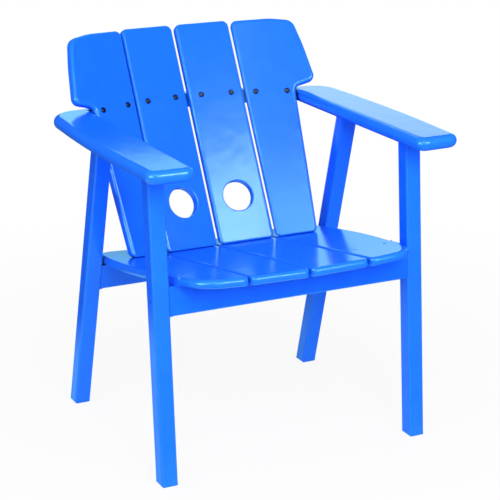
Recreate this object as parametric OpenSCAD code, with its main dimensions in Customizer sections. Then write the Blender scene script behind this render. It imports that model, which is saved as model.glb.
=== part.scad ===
// Adirondack chair: raked square legs, two rails, dished slatted seat, broad
// flat arms joined by a curved rail, and a curved back of four slats.
// Millimetres. +Z up, the sitter looks along -Y, +X is the right-hand side of
// somebody who stands in front and looks at the chair. The origin is the
// middle of the outer box on the floor.

/* [Legs and rails] */
// side of the square leg stock
leg_w = 34; // [33:0.5:35]
// rounding of the long edges of legs and rails
arris_r = 4.5; // [3:0.5:5.5]
// width over the outer faces of the legs
frame_w = 590; // [588:1:592]
// height of the leg tops, where the arms lie
arm_z = 618; // [616:1:620]
// centre of the front foot, front to rear
front_foot_y = -259; // [-262:1:-257]
// backward lean of the front legs, degrees
front_lean = 4; // [3.5:0.5:4.5]
// centre of the rear foot, front to rear
rear_foot_y = 219; // [217:1:221]
// forward lean of the rear legs, degrees
rear_lean = 16.4; // [16:0.1:16.8]
// height of the lower edge of the front rail
front_rail_z = 336; // [333:1:340]
// height of the lower edge of the rear rail
rear_rail_z = 283; // [280:1:286]
// how far the rails sit behind the leg faces
rail_setback = 2; // [1:0.5:3]

/* [Seat] */
// thickness of the seat slats
seat_t = 18; // [17:0.5:18.5]
// height of the seat surface at the origin
seat_z = 365.3; // [363:0.1:367]
// fall of the seat towards the rear, degrees
seat_slope = 9.4; // [9:0.1:9.8]
// radius of the sideways dish
dish_r = 3735; // [3200:5:4200]
// middle-to-middle distance of the seat slats
slat_pitch = 128.6; // [128:0.1:129]
// gap between two seat slats
seat_gap = 5; // [4:0.5:6]
// front of the seat noses
seat_front_y = -331.7; // [-333:0.1:-330]
// rear end of the seat slats
seat_rear_y = 183; // [181:1:185]
// rounding of the long slat edges at the gaps
seat_edge_r = 4; // [3:0.5:5]

/* [Back] */
// thickness of the back slats
back_t = 20; // [19:0.5:21]
// recline of the back, degrees
recline = 28; // [27.6:0.1:28.4]
// half the width of an inner back slat
inner_half = 61.2; // [60:0.1:62]
// turn of the inner slats about their long axis, degrees
inner_turn = 6.2; // [5.9:0.1:6.5]
// turn of the outer slats about their long axis, degrees
outer_turn = 17.8; // [17.4:0.1:18.2]
// rounding of the back slat edges
back_edge_r = 6.5; // [5:0.5:7]
// diameter of the round holes
hole_d = 66; // [62:1:70]
// distance of a back screw from the middle of its slat
back_screw_u = 33.9; // [31:0.1:36]

/* [Arms and upper rail] */
// thickness of the arms and of the upper rail
arm_t = 27; // [26:0.5:28]
// straight inner edge of the arm, from the middle
arm_in = 235; // [234:0.5:236]
// outermost point of the arm, from the middle
arm_out = 336; // [334:0.5:338]
// front end of the arm
arm_front_y = -327.7; // [-329:0.1:-326]
// turn of the joint between arm and upper rail, degrees
joint_turn = 22; // [20:1:24]
// radius of the rear edge of the upper rail
rail_rear_r = 495; // [485:1:505]

/* [Fasteners] */
// diameter of the wood screws
screw_d = 4; // [3.5:0.5:4.5]
// diameter of the round heads on the back slats
back_head_d = 12.4; // [12:0.2:13]
// diameter of the leg dowels
dowel_d = 8; // [7.5:0.5:8.5]
// diameter of the arm joint dowels
small_dowel_d = 6; // [5.5:0.5:6.5]
// diameter of the frame bolts
bolt_d = 6; // [5:1:6]
// play between a fastener and its bore, in diameter
play = 0.1; // [0.06:0.02:0.2]

/* [Hidden] */
$fn = 48;
blue = [0.06, 0.3, 0.92];
black = [0.05, 0.05, 0.06];
steel = [0.62, 0.63, 0.65];
beech = [0.78, 0.62, 0.42];

leg_x = (frame_w - leg_w) / 2;
rail_end = frame_w / 2 - leg_w;
arm_top = arm_z + arm_t;
arm_mid = arm_z + arm_t / 2;
big = 900;
front_leg_top_y = front_foot_y + arm_z * tan(front_lean);
rear_leg_top_y = rear_foot_y - arm_z * tan(rear_lean);

// back slats: middle of the front face at the height of the screws
screw_line_z = 645;
inner_x = 64;
inner_y = 234.9;
outer_x = 181.9;
outer_y = 203.9;

// joint between arm and upper rail
joint_x = 246;
joint_y = 211;
rail_rear_y = 297;

// rise of a screw along the slat that keeps the row level
function back_screw_v(u, turn) = -u * sin(turn) * tan(recline);

// feet of the back slats, along the slat from the screws
inner_foot_v = -327;
outer_foot_v = -319;
hole_v = -228.5;

// lower edges of the rails and the bolts above them, along the leg
front_rail_h = front_rail_z / cos(front_lean);
rear_rail_h = rear_rail_z / cos(rear_lean) + 2;
front_bolt_up = 32.2;
rear_bolt_up = 24.5;
front_bolt_h = front_rail_h + front_bolt_up;
rear_bolt_h = rear_rail_h + rear_bolt_up;
dowel_h = 15;
bolt_recess = 8;
bolt_head_d = 8.6;
bolt_head_h = 5;
bolt_len = 86;
nut_x = rail_end - 50;

// ---- outline helpers -------------------------------------------------------

function unit(v) = v / norm(v);

function turn_to(a, b) = let (d = b - a) d > 180 ? d - 360 : d < -180 ? d + 360 : d;

// one corner: p with radius p[2], drawn in steps of about 9 degrees
function corner(a, p, b) =
    let (
        q = [p[0], p[1]],
        ea = unit([a[0], a[1]] - q),
        eb = unit([b[0], b[1]] - q),
        half = acos(max(-1, min(1, ea * eb))) / 2,
        cut = p[2] / tan(half),
        mid = q + unit(ea + eb) * p[2] / sin(half),
        s = q + ea * cut - mid,
        e = q + eb * cut - mid,
        a0 = atan2(s[1], s[0]),
        da = turn_to(a0, atan2(e[1], e[0])),
        n = max(1, ceil(abs(da) / 11))
    )
    p[2] <= 0 ? [q] : [
        for (i = [0:n]) let (a = a0 + da * i / n) mid + p[2] * [cos(a), sin(a)]
    ];

function outline(c) =
    let (n = len(c))
    [for (i = [0:n - 1]) for (p = corner(c[(i + n - 1) % n], c[i], c[(i + 1) % n])) p];

// inward normal of an anticlockwise outline at point i
function inward(p, i) =
    let (
        n = len(p),
        a = unit(p[i] - p[(i + n - 1) % n]),
        b = unit(p[(i + 1) % n] - p[i]),
        m = unit([-a[1] - b[1], a[0] + b[0]])
    )
    m / max(0.5, m * [-a[1], a[0]]);

// two triangles for each side of a ring
function ring_faces(n, k) =
    [for (i = [0:n - 1]) let (j = (i + 1) % n) for (f = [
        [k * n + i, (k + 1) * n + i, (k + 1) * n + j],
        [k * n + i, (k + 1) * n + j, k * n + j]
    ]) f];

// board: anticlockwise outline p, thickness t downwards from z = 0, all edges
// rounded by r; the caps are strips between mirrored ends of the outline
module board(p, t, r, steps) {
    n = len(p);
    nrm = [for (i = [0:n - 1]) inward(p, i)];
    top = [for (k = [0:steps]) [r * (1 - sin(90 * k / steps)), -r * (1 - cos(90 * k / steps))]];
    low = [for (k = [0:steps]) [r * (1 - cos(90 * k / steps)), -t + r * (1 - sin(90 * k / steps))]];
    prof = 2 * r >= t - 0.01
        ? concat(top, [for (k = [1:steps]) low[k]])
        : concat(top, low);
    m = len(prof);
    pts = [for (q = prof) for (i = [0:n - 1]) let (at = p[i] + nrm[i] * q[0]) [at[0], at[1], q[1]]];
    h = floor((n - 1) / 2);
    cap = [for (i = [0:h - 1]) for (f = (n - 2 - i > i + 1) ? [
        [i, i + 1, n - 2 - i],
        [i, n - 2 - i, n - 1 - i]
    ] : [[i, i + 1, n - 1 - i]]) f];
    polyhedron(
        points = pts,
        faces = concat(
            [for (f = cap) [f[2], f[1], f[0]]],
            [for (k = [0:m - 2]) for (f = ring_faces(n, k)) [f[0], f[2], f[1]]],
            [for (f = cap) [f[0] + (m - 1) * n, f[1] + (m - 1) * n, f[2] + (m - 1) * n]]
        ),
        convexity = 6
    );
}

// rounded rectangle from (x0, y0) to (x1, y1), exact arcs
module soft_rect(x0, y0, x1, y1, r) {
    translate([x0 + r, y0]) square([x1 - x0 - 2 * r, y1 - y0]);
    translate([x0, y0 + r]) square([x1 - x0, y1 - y0 - 2 * r]);
    for (x = [x0 + r, x1 - r]) for (y = [y0 + r, y1 - r]) translate([x, y]) circle(r = r);
}

module mirror_x() {
    children();
    mirror([1, 0, 0]) children();
}

// cylinder along X, from x0 to x1
module xcyl(x0, x1, d) {
    translate([x0, 0, 0]) rotate([0, 90, 0]) cylinder(d = d, h = x1 - x0);
}

// ---- places ---------------------------------------------------------------

module front_leg_place() {
    translate([0, front_foot_y, 0]) rotate([-front_lean, 0, 0]) children();
}

module rear_leg_place() {
    translate([0, rear_foot_y, 0]) rotate([rear_lean, 0, 0]) children();
}

// top surface of the seat slat whose middle is xc
module seat_place(xc) {
    translate([xc, 0, seat_z + xc * xc / (2 * dish_r)])
    rotate([-seat_slope, 0, 0])
    rotate([0, -atan(xc / dish_r), 0])
    children();
}

// along a seat slat, for a place y of the chair at half thickness
function seat_y(y) = (y + seat_t / 2 * sin(seat_slope)) / cos(seat_slope);

// front face of a back slat: x across and outwards, y rearwards, z upwards
module inner_place() {
    translate([inner_x, inner_y, screw_line_z])
    rotate([-recline, 0, 0])
    rotate([0, 0, -inner_turn])
    children();
}

module outer_place() {
    translate([outer_x, outer_y, screw_line_z])
    rotate([-recline, 0, 0])
    rotate([0, 0, -outer_turn])
    children();
}

// ---- legs and rails --------------------------------------------------------

module leg_stock(foot_h) {
    translate([leg_x - leg_w / 2, -leg_w / 2, -30])
        linear_extrude(foot_h + 100) soft_rect(0, 0, leg_w, leg_w, arris_r);
}

// bores for one bolt and two dowels in the leg of the right-hand side
module leg_bores(h) {
    translate([0, 0, h]) {
        xcyl(rail_end - 5, frame_w / 2 + 5, bolt_d + play);
        xcyl(frame_w / 2 - bolt_recess, frame_w / 2 + 5, bolt_head_d + 0.5);
        for (s = [-1, 1]) translate([0, 0, s * dowel_h])
            xcyl(rail_end - 5, rail_end + 20.5, dowel_d + play);
    }
}

// two upright bores for the arm dowels
module arm_dowel_bores(y, z0, z1) {
    for (s = [-1, 1]) translate([leg_x + s * 8.5, y, z0]) cylinder(d = dowel_d + play, h = z1 - z0);
}

module leg_block() {
    translate([0, -big, 0]) cube([big, 2 * big, arm_z]);
}

module front_leg() {
    color(blue) difference() {
        intersection() {
            front_leg_place() leg_stock(arm_z);
            leg_block();
        }
        front_leg_place() leg_bores(front_bolt_h);
        arm_dowel_bores(front_leg_top_y, arm_z - 22.5, arm_z + 5);
    }
}

module rear_leg() {
    color(blue) difference() {
        intersection() {
            rear_leg_place() leg_stock(arm_z);
            leg_block();
        }
        rear_leg_place() leg_bores(rear_bolt_h);
        arm_dowel_bores(rear_leg_top_y + 3, arm_z - 22.5, arm_z + 5);
    }
}

// everything above the underside of the seat slats
module above_seat() {
    intersection_for(k = [-1.5, -0.5, 0.5, 1.5])
        seat_place(k * slat_pitch) translate([-big, -big, -seat_t]) cube([2 * big, 2 * big, 400]);
}

module rail_bar(z0) {
    y0 = -leg_w / 2 + rail_setback;
    y1 = leg_w / 2;
    translate([-rail_end, 0, 0]) rotate([90, 0, 90])
        linear_extrude(2 * rail_end) soft_rect(y0, z0, y1, z0 + 110, arris_r);
}

// bores in both ends of a rail, with the cross bore for the barrel nut
module rail_bores(h) {
    mirror_x() translate([0, 0, h]) {
        xcyl(nut_x - 12, rail_end + 5, bolt_d + play);
        translate([nut_x, -11, 0]) rotate([-90, 0, 0]) cylinder(d = 10 + play, h = 60);
        for (s = [-1, 1]) translate([0, 0, s * dowel_h])
            xcyl(rail_end - 20.5, rail_end + 5, dowel_d + play);
    }
}

// a row of seat screws: place along the chair, then the near and the far
// screw across an outer slat, kept clear of the bolts and barrel nuts
outer_xc = 1.5 * slat_pitch;
front_row = [front_foot_y + (seat_z + 35) * tan(front_lean) + 9.5, 38, rail_end - 36.1 - outer_xc];
rear_row = [rear_foot_y - (seat_z - 21) * tan(rear_lean) + 9, 48, rail_end - 68.1 - outer_xc];

function seat_screw_u(k, row) = abs(k) > 1 ? [-row[1] * sign(k), row[2] * sign(k)] : [-36, 36];

// pilot bores of a row of seat screws
module seat_pilots(row) {
    seat_row(row) translate([0, 0, -44.5]) cylinder(d = screw_d + play, h = 60);
}

module front_rail() {
    color(blue) difference() {
        front_leg_place() rail_bar(front_rail_h);
        above_seat();
        front_leg_place() rail_bores(front_bolt_h);
        seat_pilots(front_row);
    }
}

module rear_rail() {
    color(blue) difference() {
        rear_leg_place() rail_bar(rear_rail_h);
        above_seat();
        rear_leg_place() rail_bores(rear_bolt_h);
        seat_pilots(rear_row);
    }
}

// ---- seat -------------------------------------------------------------------

slat_w = slat_pitch - seat_gap;
foot_screw_u = 30;
plug_d = 9;
plug_h = 4;
head_h = 3;

// through bore and recess for the seat screws
module seat_slat_bores(k) {
    for (row = [front_row, rear_row]) for (u = seat_screw_u(k, row)) translate([u, seat_y(row[0]), 0]) {
        translate([0, 0, -seat_t - 5]) cylinder(d = screw_d + play, h = seat_t + 10);
        translate([0, 0, -plug_h - head_h]) cylinder(d = plug_d + play, h = 20);
    }
}

// bores of the screws that go up into the back slats, in chair coordinates
module foot_screw_bores() {
    for (u = [-foot_screw_u, foot_screw_u]) {
        inner_place() foot_bore(u, inner_foot_v);
        outer_place() foot_bore(u - 10, outer_foot_v);
    }
}

module foot_bore(u, v) {
    translate([u, back_t / 2, v - 60]) cylinder(d = screw_d + play, h = 90.5);
    translate([u, back_t / 2, v - 60]) cylinder(d = plug_d, h = 43);
}

// side view of a slat: full nose at the front, soft rear end
module slat_side() {
    r = seat_t / 2;
    y0 = seat_y(seat_front_y);
    y1 = seat_y(seat_rear_y);
    translate([y0 + r, -r]) circle(r = r);
    translate([y0 + r, -seat_t]) square([y1 - y0 - r - 6, seat_t]);
    translate([y0 + r, 0]) soft_rect(0, -seat_t, y1 - y0 - r, 0, 5);
}

// cross section of a slat from x0 to x1, extruded along the slat
module slat_run(x0, x1) {
    translate([0, 400, 0]) rotate([90, 0, 0])
        linear_extrude(800) soft_rect(x0, -seat_t, x1, 0, seat_edge_r);
}

module seat_slat_inner() {
    color(blue) difference() {
        seat_place(slat_pitch / 2) difference() {
            intersection() {
                slat_run(-slat_w / 2, slat_w / 2);
                translate([-100, 0, 0]) rotate([90, 0, 90]) linear_extrude(200) slat_side();
            }
            seat_slat_bores(0.5);
        }
        foot_screw_bores();
    }
}

seat_side_u = rail_end + 4 - outer_xc;
seat_bow_r = 1183;
seat_bow_y = -28;

function side_u(y) = seat_side_u - pow(y - seat_bow_y, 2) / (2 * seat_bow_r);

function outer_seat_outline() = outline(concat(
    [[-80, seat_y(seat_front_y), 0]],
    [[seat_side_u - 34, seat_y(seat_front_y), 62]],
    [for (y = [-232:31:78]) [side_u(y), seat_y(y), 0]],
    [[seat_side_u - 18.1, seat_y(seat_rear_y), 48]],
    [[-80, seat_y(seat_rear_y), 0]]
));

// room for the front leg in the side of an outer seat slat
leg_room_x = rail_end - 23;
leg_room_y = front_foot_y + seat_z * tan(front_lean) + 5;

module seat_slat_outer() {
    color(blue) difference() {
        seat_place(1.5 * slat_pitch) difference() {
            intersection() {
                slat_run(-slat_w / 2, 120);
                board(outer_seat_outline(), seat_t, seat_t / 2, 5);
            }
            seat_slat_bores(1.5);
        }
        translate([leg_room_x, leg_room_y - 23.5, 300]) cube([100, 40, 200]);
        foot_screw_bores();
    }
}

// ---- back -------------------------------------------------------------------

// outlines in slat coordinates: across and outwards, then upwards
function inner_back_outline() = outline([
    [inner_half, inner_foot_v, 10],
    [inner_half, 161, 14],
    [-inner_half, 165.5, 14],
    [-inner_half, inner_foot_v, 10]
]);

function outer_back_outline() = outline([
    [32.8, outer_foot_v, 10],
    [42.5, -180, 300],
    [53.4, 1.5, 14],
    [101.5, 9, 15],
    [91, 92, 400],
    [79.5, 149.5, 25],
    [30, 163, 150],
    [-56, 172.3, 13],
    [-56, outer_foot_v, 10]
]);

// stand a board drawn flat up on its lower end: x across, z upwards
module stood(t) {
    rotate([90, 0, 0]) children();
}

module back_screw_bores(turn) {
    for (u = [-back_screw_u, back_screw_u])
        translate([u, -5, back_screw_v(u, turn)]) rotate([-90, 0, 0]) cylinder(d = screw_d + play, h = 46);
}

// everything below the top of the seat slat whose middle is xc
module below_seat(xc) {
    seat_place(xc) translate([-300, -400, -150]) cube([600, 800, 150]);
}

module back_slat_inner() {
    color(blue) difference() {
        inner_place() difference() {
            stood() board(inner_back_outline(), back_t, back_edge_r, 3);
            back_screw_bores(inner_turn);
            translate([0, -5, hole_v]) rotate([-90, 0, 0]) cylinder(d = hole_d, h = back_t + 10, $fn = 96);
        }
        below_seat(slat_pitch / 2);
        foot_screw_bores();
    }
}

module back_slat_outer() {
    color(blue) difference() {
        outer_place() difference() {
            stood() board(outer_back_outline(), back_t, back_edge_r, 3);
            back_screw_bores(outer_turn);
        }
        below_seat(1.5 * slat_pitch);
        foot_screw_bores();
        translate([arm_in + slat_room - 1.2, 100, arm_z - 1]) cube([150, 200, arm_t + 2.2]);
    }
}

// ---- arms and upper rail -------------------------------------------------------

// how far the inner edge of the arm is cut back beside the outer back slat
slat_room = 3.2;
arm_bow_r = 3500;
arm_bow_y = -70;

function arm_x(y) = arm_out - (y - arm_bow_y) * (y - arm_bow_y) / (2 * arm_bow_r);

// both long sides carry the same stations, so that the caps stay simple
arm_stations = [-285:37:159];

function arm_outline() = outline(concat(
    [[arm_out - 5.5, arm_front_y + 2.5, 24]],
    [for (y = arm_stations) [arm_x(y), y, 0]],
    [[arm_out - 9.5, 231, 62]],
    [[arm_in, 229, 0]],
    [for (y = arm_stations) [arm_in, -126 - y, 0]],
    [[arm_in, arm_front_y - 1.5, 22]]
));

// joint plane between arm and upper rail, x square to it and outwards
module joint_place(z) {
    translate([joint_x, joint_y, z]) rotate([0, 0, -joint_turn]) children();
}

// the side of the joint that belongs to the upper rail
module rail_side() {
    joint_place(arm_z - 50) translate([-400, -24, 0]) cube([400, 400, 150]);
}

module joint_bores() {
    for (s = [-1, 1]) joint_place(arm_mid) translate([0, s * 5.5, 0])
        xcyl(-12.5, 12.5, small_dowel_d + play);
}

module arm() {
    color(blue) difference() {
        translate([0, 0, arm_top]) board(arm_outline(), arm_t, arm_t / 2, 6);
        rail_side();
        // room for the edge of the outer back slat
        translate([arm_in - 20, 176, arm_z - 5]) cube([20 + slat_room, 60, arm_t + 10]);
        joint_bores();
        arm_dowel_bores(front_leg_top_y, arm_z - 5, arm_z + 18.5);
        arm_dowel_bores(rear_leg_top_y + 3, arm_z - 5, arm_z + 18.5);
    }
}

// everything in front of the rear faces of the back slats
module before_back() {
    mirror_x() {
        inner_place() translate([-67.5, -250, -150]) cube([133.5, 250 + back_t, 300]);
        outer_place() translate([-59.5, -250, -150]) cube([150, 250 + back_t, 300]);
    }
}

module upper_back_rail() {
    color(blue) difference() {
        translate([0, rail_rear_y - rail_rear_r, arm_mid]) rotate([0, 0, 50])
            rotate_extrude(angle = 80, $fn = 180) {
                translate([rail_rear_r - 140, -arm_t / 2]) square([140 - arm_t / 2, arm_t]);
                translate([rail_rear_r - arm_t / 2, 0]) circle(r = arm_t / 2);
            }
        before_back();
        mirror_x() rail_cut();
        mirror_x() joint_bores();
        mirror_x() {
            inner_place() back_screw_bores(inner_turn);
            outer_place() back_screw_bores(outer_turn);
        }
    }
}

// the side of the joint that belongs to the arm
module rail_cut() {
    joint_place(arm_z - 50) translate([0, -400, 0]) cube([400, 800, 150]);
}

// ---- fasteners ---------------------------------------------------------------------

// button head screw along -Z, underside of the head at z = 0
module back_screw() {
    r = back_head_d / 2;
    difference() {
        union() {
            rotate_extrude() polygon([
                [0, 0], [r, 0], [r, 0.8], [0.93 * r, 1.8],
                [0.75 * r, 2.7], [0.45 * r, 3.2], [0, 3.3]
            ]);
            translate([0, 0, -37]) cylinder(d = screw_d, h = 38);
            translate([0, 0, -40]) cylinder(d1 = 0.8, d2 = screw_d, h = 3);
        }
        translate([0, 0, 1.3]) cylinder(d = 4.6, h = 5, $fn = 6);
    }
}

module back_screws() {
    color(black) mirror_x() for (u = [-back_screw_u, back_screw_u]) {
        inner_place() translate([u, 0, back_screw_v(u, inner_turn)]) rotate([90, 0, 0]) back_screw();
        outer_place() translate([u, 0, back_screw_v(u, outer_turn)]) rotate([90, 0, 0]) back_screw();
    }
}

// flat head screw along -Z, top of the head at z = 0
module wood_screw(len) {
    difference() {
        union() {
            translate([0, 0, -head_h]) cylinder(d = plug_d - 0.4, h = head_h);
            translate([0, 0, -len + 3]) cylinder(d = screw_d, h = len - 3);
            translate([0, 0, -len]) cylinder(d1 = 0.8, d2 = screw_d, h = 3);
        }
        translate([0, 0, -1.8]) cylinder(d = 3, h = 5, $fn = 6);
    }
}

module seat_row(row) {
    for (k = [-1.5, -0.5, 0.5, 1.5]) seat_place(k * slat_pitch)
        for (u = seat_screw_u(k, row)) translate([u, seat_y(row[0]), 0]) children();
}

module seat_screws_front() {
    color(steel) seat_row(front_row) translate([0, 0, -plug_h]) wood_screw(40);
}

module seat_screws_rear() {
    color(steel) seat_row(rear_row) translate([0, 0, -plug_h]) wood_screw(40);
}

module seat_screw_plugs() {
    color(blue) {
        seat_row(front_row) translate([0, 0, -plug_h]) cylinder(d = plug_d, h = plug_h);
        seat_row(rear_row) translate([0, 0, -plug_h]) cylinder(d = plug_d, h = plug_h);
    }
}

module back_foot_screws() {
    color(steel) mirror_x() for (u = [-foot_screw_u, foot_screw_u]) {
        inner_place() translate([u, back_t / 2, inner_foot_v - 20]) rotate([180, 0, 0]) wood_screw(50);
        outer_place() translate([u - 10, back_t / 2, outer_foot_v - 20]) rotate([180, 0, 0]) wood_screw(50);
    }
}

// socket head bolt along -X, underside of the head at x = 0
module frame_bolt() {
    difference() {
        union() {
            xcyl(0, bolt_head_h, bolt_head_d);
            xcyl(-bolt_len, 1, bolt_d);
        }
        translate([2, 0, 0]) rotate([0, 90, 0]) cylinder(d = 4.4, h = 10, $fn = 6);
    }
}

module frame_bolts() {
    color(steel) mirror_x() {
        front_leg_place() translate([frame_w / 2 - bolt_recess, 0, front_bolt_h]) frame_bolt();
        rear_leg_place() translate([frame_w / 2 - bolt_recess, 0, rear_bolt_h]) frame_bolt();
    }
}

module barrel_nut() {
    difference() {
        translate([nut_x, -10, 0]) rotate([-90, 0, 0]) cylinder(d = 10, h = 20);
        xcyl(nut_x - 20, nut_x + 20, bolt_d + play);
    }
}

module barrel_nuts() {
    color(steel) mirror_x() {
        front_leg_place() translate([0, 0, front_bolt_h]) barrel_nut();
        rear_leg_place() translate([0, 0, rear_bolt_h]) barrel_nut();
    }
}

module rail_dowels() {
    color(beech) mirror_x() for (s = [-1, 1]) {
        front_leg_place() translate([0, 0, front_bolt_h + s * dowel_h])
            xcyl(rail_end - 20, rail_end + 20, dowel_d);
        rear_leg_place() translate([0, 0, rear_bolt_h + s * dowel_h])
            xcyl(rail_end - 20, rail_end + 20, dowel_d);
    }
}

module arm_dowels() {
    color(beech) mirror_x() for (s = [-1, 1]) for (y = [front_leg_top_y, rear_leg_top_y + 3])
        translate([leg_x + s * 8.5, y, arm_z - 22]) cylinder(d = dowel_d, h = 40);
}

module arm_joint_dowels() {
    color(beech) mirror_x() for (s = [-1, 1]) joint_place(arm_mid)
        translate([0, s * 5.5, 0]) xcyl(-12, 12, small_dowel_d);
}

// ---- the chair -----------------------------------------------------------------------

mirror([1, 0, 0]) front_leg();  // front_leg_left
front_leg();  // front_leg_right
mirror([1, 0, 0]) rear_leg();  // rear_leg_left
rear_leg();  // rear_leg_right
front_rail();
rear_rail();
mirror([1, 0, 0]) arm();  // arm_left
arm();  // arm_right
upper_back_rail();
mirror([1, 0, 0]) seat_slat_outer();  // seat_slat_1
mirror([1, 0, 0]) seat_slat_inner();  // seat_slat_2
seat_slat_inner();  // seat_slat_3
seat_slat_outer();  // seat_slat_4
mirror([1, 0, 0]) back_slat_outer();  // back_slat_1
mirror([1, 0, 0]) back_slat_inner();  // back_slat_2
back_slat_inner();  // back_slat_3
back_slat_outer();  // back_slat_4
back_screws();
seat_screws_front();
seat_screws_rear();
seat_screw_plugs();
back_foot_screws();
frame_bolts();
barrel_nuts();
rail_dowels();
arm_dowels();
arm_joint_dowels();
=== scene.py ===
"""Garden armchair of painted hardwood, dressed for the render.

+Z is up, the sitter looks along -Y and left is -X. Sizes of the chair are in
millimetres and become metres when a mesh is made; those of the studio are in
metres. Every board is one closed skin: rings of points that follow the outline
of the board, drawn in towards its faces by the rounding of its edges.
"""

import logging
import math
from collections.abc import Callable
from dataclasses import dataclass, field
from enum import Enum

import bmesh
import bpy
import numpy as np
from mathutils import Matrix, Vector
from mathutils.geometry import tessellate_polygon


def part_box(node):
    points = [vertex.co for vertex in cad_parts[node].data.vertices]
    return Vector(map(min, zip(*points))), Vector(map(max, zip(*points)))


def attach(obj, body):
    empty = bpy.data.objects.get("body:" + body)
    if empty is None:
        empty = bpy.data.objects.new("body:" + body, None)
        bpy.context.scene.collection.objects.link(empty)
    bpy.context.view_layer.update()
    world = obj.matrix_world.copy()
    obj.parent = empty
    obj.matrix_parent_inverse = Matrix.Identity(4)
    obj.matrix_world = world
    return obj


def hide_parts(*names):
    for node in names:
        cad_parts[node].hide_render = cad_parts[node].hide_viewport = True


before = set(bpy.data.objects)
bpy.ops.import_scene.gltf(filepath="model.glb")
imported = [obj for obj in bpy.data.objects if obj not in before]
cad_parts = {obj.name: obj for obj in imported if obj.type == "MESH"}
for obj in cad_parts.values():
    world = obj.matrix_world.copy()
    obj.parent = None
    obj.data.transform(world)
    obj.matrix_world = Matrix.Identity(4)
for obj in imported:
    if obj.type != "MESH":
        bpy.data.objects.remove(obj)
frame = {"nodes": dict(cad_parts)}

LOG = logging.getLogger("armchair")
MM = 0.001
ROOT = "root"
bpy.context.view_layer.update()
INNER, OUTER = 0.5, 1.5  # slats of one side, in steps from the middle
SHARP = math.radians(38)  # faces that meet more sharply than this keep their edge


class Side(Enum):
    """Which half of the chair a piece belongs to, as the sign of x."""

    LEFT = -1
    RIGHT = 1

    @property
    def flip(self) -> np.ndarray:
        """Factors that bring a point of the right-hand side to this side."""
        return np.array([self.value, 1, 1])

    def slat(self, k: float) -> int:
        """Number of slat k of this side, counted from the left."""
        return int(2.5 + self.value * k)


SLATS = [(side, k) for side in Side for k in (INNER, OUTER)]  # of the seat or the back


class Cut(Enum):
    """How a round cutout goes into a board."""

    THROUGH = "through"
    TOP = "top"
    UNDERSIDE = "underside"


class Slot(Enum):
    """Material slots of the record, named for the pieces of this file."""

    ENAMEL = "blue_enamel"
    BLACK = "black_screw"


# ---- arithmetic of places ----------------------------------------------------


def turn(axis: str, degrees: float) -> np.ndarray:
    """Matrix of a right-handed turn about one axis.

    Args:
        axis: "x", "y" or "z".
        degrees: angle of the turn.

    Returns:
        The 3 by 3 matrix.
    """
    c, s = math.cos(math.radians(degrees)), math.sin(math.radians(degrees))
    rows = {
        "x": [[1, 0, 0], [0, c, -s], [0, s, c]],
        "y": [[c, 0, s], [0, 1, 0], [-s, 0, c]],
        "z": [[c, -s, 0], [s, c, 0], [0, 0, 1]],
    }
    return np.array(rows[axis], float)


@dataclass(frozen=True)
class Place:
    """A place in the chair: a turned frame and its origin."""

    origin: tuple[float, float, float]
    frame: np.ndarray

    def out(self, points: np.ndarray) -> np.ndarray:
        """Points of this place in chair coordinates."""
        return points @ self.frame.T + np.array(self.origin)

    def point(self, x: float, y: float, z: float) -> np.ndarray:
        """One point of this place in chair coordinates."""
        return self.out(np.array([[x, y, z]]))[0]

    def back(self, points: np.ndarray) -> np.ndarray:
        """Points of the chair in the coordinates of this place."""
        return (points - np.array(self.origin)) @ self.frame


def unit(v: np.ndarray) -> np.ndarray:
    """The vectors of v at length 1."""
    return v / np.linalg.norm(v, axis=-1, keepdims=True)


# ---- outlines ----------------------------------------------------------------


@dataclass
class Corner:
    """A corner of an outline.

    Attributes:
        u: place across.
        v: place along.
        radius: radius of the corner in the outline, 0 for a plain point.
        edge: rounding of the board's edge from here to the next corner.
    """

    u: float
    v: float
    radius: float
    edge: float


# points (n, 2) of a closed outline, and the edge rounding at each
Edge = tuple[np.ndarray, np.ndarray]


def outline(corners: list[Corner], step: float = 4.0, run: float = 9.0) -> Edge:
    """Points of a closed anticlockwise outline with the edge rounding at each.

    A rounded corner is an arc whose centre lies on the bisector, at radius
    over the sine of half the corner's angle. Over the arc the edge rounding
    eases from that of the edge before to that of the edge after. At a plain
    corner between two roundings, both ease to the smaller within run.

    Args:
        corners: corners in order.
        step: largest angle of arc between two points, in degrees.
        run: length of the easing at a plain corner.

    Returns:
        Points (n, 2) and roundings (n,).
    """
    points, edges = [], []
    for i, c in enumerate(corners):
        before, after = corners[i - 1], corners[(i + 1) % len(corners)]
        at = np.array([c.u, c.v])
        a = unit(np.array([before.u, before.v]) - at)
        b = unit(np.array([after.u, after.v]) - at)
        if c.radius <= 0:
            if before.edge == c.edge:
                points.append(at[None])
                edges.append(np.array([c.edge]))
            else:
                points.append(np.array([at + a * run, at, at + b * run]))
                edges.append(np.array([before.edge, min(before.edge, c.edge), c.edge]))
            continue
        half = math.acos(max(-1.0, min(1.0, float(a @ b)))) / 2
        middle = at + unit(a + b) * c.radius / math.sin(half)
        start = at + a * c.radius / math.tan(half) - middle
        end = at + b * c.radius / math.tan(half) - middle
        first = math.atan2(start[1], start[0])
        sweep = (math.atan2(end[1], end[0]) - first + math.pi) % (2 * math.pi) - math.pi
        count = max(4, math.ceil(abs(math.degrees(sweep)) / step))
        t = np.linspace(0, 1, count + 1)
        angle = first + sweep * t
        points.append(middle + c.radius * np.stack([np.cos(angle), np.sin(angle)], 1))
        ease = t * t * (3 - 2 * t)
        edges.append(before.edge + (c.edge - before.edge) * ease)
    return np.concatenate(points), np.concatenate(edges)


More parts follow.
